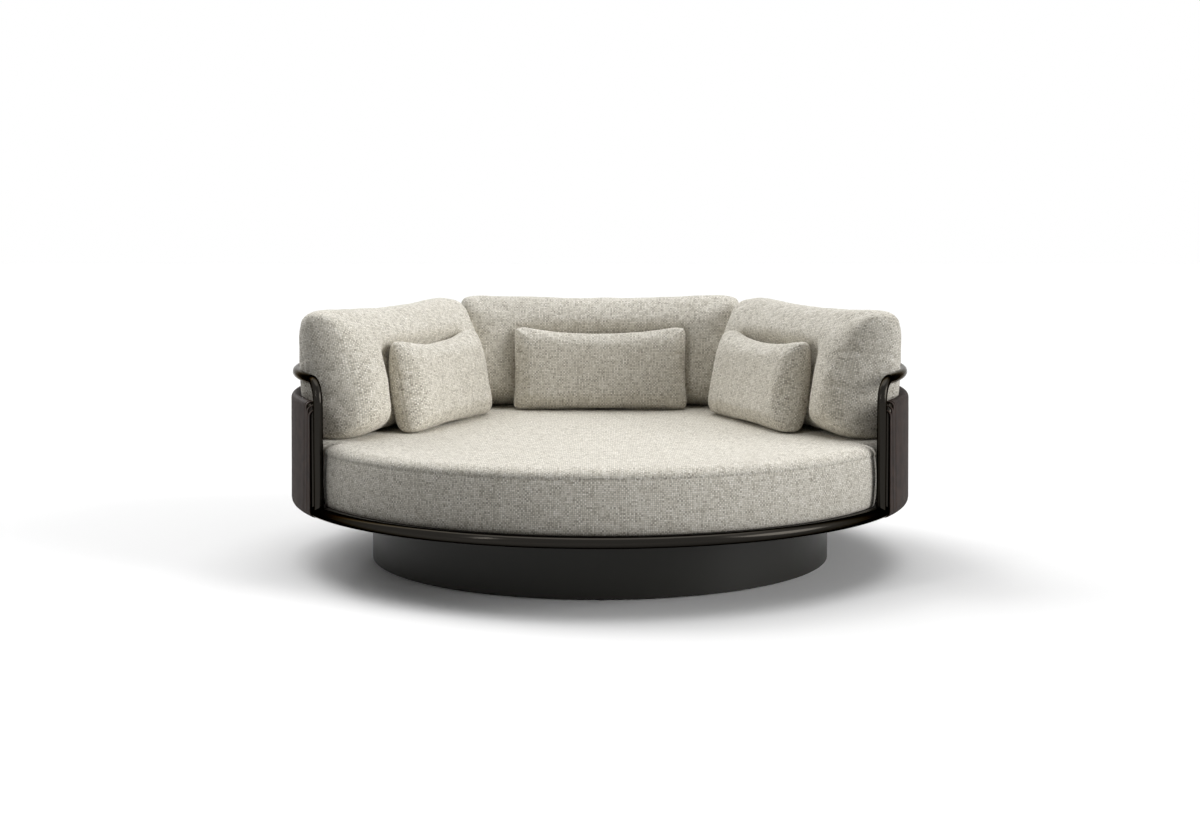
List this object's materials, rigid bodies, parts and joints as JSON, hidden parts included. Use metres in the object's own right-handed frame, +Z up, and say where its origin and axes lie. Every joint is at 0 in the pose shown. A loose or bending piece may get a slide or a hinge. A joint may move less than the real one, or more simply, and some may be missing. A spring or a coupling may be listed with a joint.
{
  "type": "meditation bed",
  "caption": "Round meditation bed on a drum plinth, with a tubular back rail and a strap-wound band, a round mattress, back cushions and pillows.",
  "frame": {"origin": "on the floor under the middle of the drum plinth", "axes": "+Z up, the open front of the seat towards -Y, +X to the right seen from the front"},
  "size_m": [1.999, 1.9972, 0.8163],
  "materials": {
    "bronze_tube": "satin",
    "plinth_paint": "satin",
    "inner_frame": "matte",
    "glide_rubber": "matte",
    "deck_board": "matte",
    "fastener_steel": "satin",
    "strap_winding": "matte",
    "mattress_fabric": "matte",
    "cushion_fabric": "matte",
    "pillow_fabric": "matte",
    "foam": "matte"
  },
  "bodies": {
    "bed_frame": {"plinth_skirt": "plinth_paint", "plinth_base_ring": "inner_frame", "plinth_top_ring": "inner_frame", "plinth_post_1": "inner_frame", "plinth_post_2": "inner_frame", "plinth_post_3": "inner_frame", "plinth_post_4": "inner_frame", "plinth_post_5": "inner_frame", "plinth_post_6": "inner_frame", "plinth_post_7": "inner_frame", "plinth_post_8": "inner_frame", "plinth_glides": "glide_rubber", "hub_plate": "inner_frame", "deck_arm_1": "inner_frame", "deck_arm_2": "inner_frame", "deck_arm_3": "inner_frame", "deck_arm_4": "inner_frame", "deck_arm_5": "inner_frame", "deck_arm_6": "inner_frame", "deck_arm_7": "inner_frame", "deck_arm_8": "inner_frame", "deck_panel_1": "deck_board", "deck_panel_2": "deck_board", "deck_panel_3": "deck_board", "deck_panel_4": "deck_board", "deck_screws": "fastener_steel", "arm_bolts": "fastener_steel", "seat_ring": "bronze_tube", "back_rail": "bronze_tube", "band_frame": "bronze_tube", "band_upright_1": "bronze_tube", "band_upright_2": "bronze_tube", "band_upright_3": "bronze_tube", "band_upright_4": "bronze_tube", "band_upright_5": "bronze_tube", "rail_stay_1": "bronze_tube", "rail_stay_2": "bronze_tube", "rail_stay_3": "bronze_tube", "rail_stay_4": "bronze_tube", "rail_stay_5": "bronze_tube", "post_spacer_left": "bronze_tube", "post_spacer_right": "bronze_tube", "band_winding": "strap_winding"},
    "mattress": {"mattress_cover": "mattress_fabric", "mattress_core": "foam"},
    "back_cushion_left": {"back_cushion_left_cover": "cushion_fabric", "back_cushion_left_fill": "foam"},
    "pillow_left": {"pillow_left_cover": "pillow_fabric", "pillow_left_fill": "foam"},
    "back_cushion_middle": {"back_cushion_middle_cover": "cushion_fabric", "back_cushion_middle_fill": "foam"},
    "pillow_middle": {"pillow_middle_cover": "pillow_fabric", "pillow_middle_fill": "foam"},
    "back_cushion_right": {"back_cushion_right_cover": "cushion_fabric", "back_cushion_right_fill": "foam"},
    "pillow_right": {"pillow_right_cover": "pillow_fabric", "pillow_right_fill": "foam"}
  },
  "joints": [
    {"name": "mattress_lift", "type": "slide", "parent": "bed_frame", "child": "mattress", "axis": [0, 0, 1], "range_m": [0, 0.5]},
    {"name": "back_cushion_left_lift", "type": "slide", "parent": "mattress", "child": "back_cushion_left", "axis": [0, 0, 1], "range_m": [0, 0.45]},
    {"name": "pillow_left_lift", "type": "slide", "parent": "back_cushion_left", "child": "pillow_left", "axis": [0, 0, 1], "range_m": [0, 0.4]},
    {"name": "back_cushion_middle_lift", "type": "slide", "parent": "mattress", "child": "back_cushion_middle", "axis": [0, 0, 1], "range_m": [0, 0.45]},
    {"name": "pillow_middle_lift", "type": "slide", "parent": "back_cushion_middle", "child": "pillow_middle", "axis": [0, 0, 1], "range_m": [0, 0.4]},
    {"name": "back_cushion_right_lift", "type": "slide", "parent": "mattress", "child": "back_cushion_right", "axis": [0, 0, 1], "range_m": [0, 0.45]},
    {"name": "pillow_right_lift", "type": "slide", "parent": "back_cushion_right", "child": "pillow_right", "axis": [0, 0, 1], "range_m": [0, 0.4]}
  ]
}
